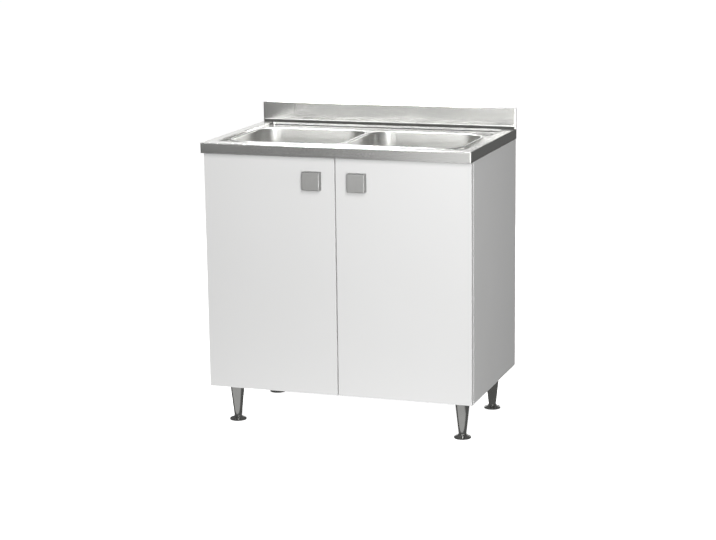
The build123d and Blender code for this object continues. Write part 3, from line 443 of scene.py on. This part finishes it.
wall_form = bmesh.new()
bmesh.ops.create_icosphere(wall_form, subdivisions=4, radius=wall_radius)
bmesh.ops.reverse_faces(wall_form, faces=wall_form.faces)
wall_finish = make_studio_finish(
    "white studio wall", gloss=0.5, glow=1.0, greys=(0.90, 0.95), glow_greys=(0.99, 1.0)
)
wall = make_studio_piece("studio_wall", wall_form, wall_finish)
wall.visible_transmission = False
wall.visible_shadow = False

# --- Studio light -------------------------------------------------------------------------------
# Soft boxes round the unit, stronger from the right-hand front, over a dim even surround. The low
# ones light the cabinet and its back without reaching into the bowls.


def softbox(name, place, target, size, watts):
    """A soft rectangular lamp that faces a target and isn't seen by the camera."""
    lamp = bpy.data.lights.new(name, "AREA")
    lamp.shape = "RECTANGLE"
    lamp.size, lamp.size_y = size
    lamp.energy = watts
    box = bpy.data.objects.new(name, lamp)
    direction = Vector(target) - Vector(place)
    box.location = place
    box.rotation_euler = direction.to_track_quat("-Z", "Y").to_euler()
    box.visible_camera = False
    bpy.context.scene.collection.objects.link(box)


softbox(
    "tall key softbox", place=(1.5, -3.1, 1.6), target=(0.75, 0.0, 0.75),
    size=(0.9, 3.1), watts=95.0,
)
softbox(
    "centre panel", place=(-0.2, -3.1, 1.2), target=(-0.1, 0.0, 0.75),
    size=(0.7, 0.5), watts=8.6,
)
softbox(
    "low centre strip", place=(-0.25, -3.1, 0.45), target=(-0.1, 0.0, 0.75),
    size=(0.8, 0.9), watts=1.9,
)
softbox(
    "left panel", place=(-1.45, -3.1, 1.25), target=(-0.7, 0.0, 0.75),
    size=(0.9, 0.5), watts=6.1,
)
softbox(
    "back strip", place=(-0.6, 3.2, 1.15), target=(0.0, 0.0, 0.85),
    size=(2.8, 0.6), watts=5.2,
)
softbox(
    "overhead softbox", place=(-0.9, 1.3, 3.2), target=(0.0, 0.0, 0.8),
    size=(0.8, 0.4), watts=180.0,
)
softbox(
    "right side panel", place=(3.2, -0.3, 0.55), target=(0.0, 0.0, 0.55),
    size=(2.0, 0.6), watts=15.0,
)
softbox(
    "low rear panel", place=(-0.8, 3.0, 0.35), target=(-0.2, 0.25, 0.45),
    size=(1.7, 0.5), watts=2.6,
)
softbox(
    "floor card", place=(-0.1, -0.39, 0.006), target=(-0.1, -0.39, 1.0),
    size=(1.2, 0.42), watts=0.62,
)

surround_grey = (0.128, 0.128, 0.126, 1)

studio = bpy.data.worlds.new("studio")
bpy.context.scene.world = studio
studio.use_nodes = True
surround = studio.node_tree.nodes["Background"]
surround.inputs["Color"].default_value = surround_grey
surround.inputs["Strength"].default_value = 1.0

bpy.context.scene.view_settings.view_transform = "Standard"

# --- Camera -------------------------------------------------------------------------------------
# Where the photograph was taken from: in front, a little to the right and a little above, with a
# long lens held slightly off level.

turn = math.radians(18.96)
tilt = math.radians(11.76)
lean = math.radians(-0.74)
stand_off = 5.81743
aim = Vector((-0.01483, 0.001, 0.44032))
film_width_mm = 36.0
focal_length_mm = 99.31

back = Vector((math.sin(turn) * math.cos(tilt), -math.cos(turn) * math.cos(tilt), math.sin(tilt)))
across = (-back).cross(Vector((0, 0, 1))).normalized()
upwards = across.cross(-back)
right = across * math.cos(lean) + upwards * math.sin(lean)
top = upwards * math.cos(lean) - across * math.sin(lean)
lens = bpy.data.cameras.new("camera")
lens.sensor_width = film_width_mm
lens.lens = focal_length_mm
camera = bpy.data.objects.new("camera", lens)
facing = Matrix((right, top, back)).transposed().to_4x4()
camera.matrix_world = Matrix.Translation(aim + back * stand_off) @ facing
bpy.context.scene.collection.objects.link(camera)
bpy.context.scene.camera = camera
